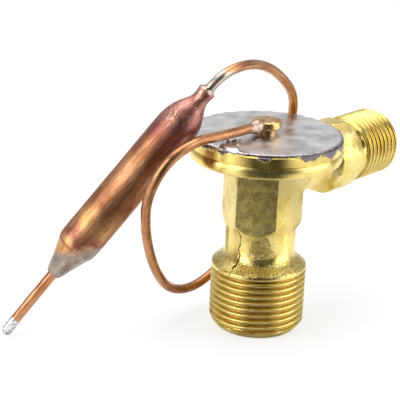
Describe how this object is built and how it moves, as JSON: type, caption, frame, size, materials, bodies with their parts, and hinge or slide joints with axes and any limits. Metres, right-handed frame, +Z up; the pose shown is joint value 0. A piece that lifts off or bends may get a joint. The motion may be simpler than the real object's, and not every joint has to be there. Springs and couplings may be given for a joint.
{
  "type": "thermostatic expansion valve",
  "caption": "Angle brass thermostatic expansion valve with a round diaphragm head, threaded outlet and inlet, and a looped copper capillary tube with a copper sensing bulb.",
  "frame": {"origin": "centre of the outlet's end face, on which the valve stands", "axes": "+Z up along the outlet and the diaphragm head, +X along the inlet arm, away from the body"},
  "size_m": [0.0909, 0.0525, 0.0638],
  "materials": {
    "forged_brass": "satin",
    "turned_brass": "satin",
    "stainless": "satin",
    "tinned_steel": "satin",
    "solder": "satin",
    "copper_tube": "satin",
    "copper_bulb": "satin",
    "spring_wire": "satin"
  },
  "bodies": {
    "housing": {"valve_body": "forged_brass", "diaphragm_lower_case": "turned_brass", "diaphragm": "stainless", "diaphragm_cover": "tinned_steel", "head_solder_seam": "solder", "capillary_boss": "turned_brass", "boss_braze": "solder", "capillary_tube": "copper_tube", "bulb_neck_solder": "solder", "sensing_bulb": "copper_bulb", "charge_tube": "copper_tube", "charge_tube_seal": "solder", "orifice_seat": "stainless", "strainer_ring": "turned_brass", "strainer_screen": "spring_wire", "superheat_spring": "spring_wire"},
    "needle": {"diaphragm_pad": "turned_brass", "push_rod_left": "stainless", "push_rod_right": "stainless", "ball_carrier": "turned_brass", "valve_ball": "stainless"},
    "seat": {"spring_seat": "turned_brass"},
    "nut": {"adjusting_nut": "turned_brass"}
  },
  "joints": [
    {"name": "needle_lift", "type": "slide", "parent": "housing", "child": "needle", "axis": [0, 0, -1], "range_m": [0, 0.0006], "stiffness_N_per_m": 5000, "deforming": ["superheat_spring"]},
    {"name": "seat_slide", "type": "slide", "parent": "housing", "child": "seat", "axis": [0, 0, 1], "range_m": [-0.0015, 0.0015], "deforming": ["superheat_spring"]},
    {"name": "nut_turn", "type": "hinge", "parent": "seat", "child": "nut", "pos_m": [0, 0, 0.01], "axis": [0, 0, 1], "range_deg": [-540, 540]}
  ],
  "couplings": [
    {"joint": "seat_slide", "follows": "nut_turn", "m_per_rad": 0.00015915}
  ]
}
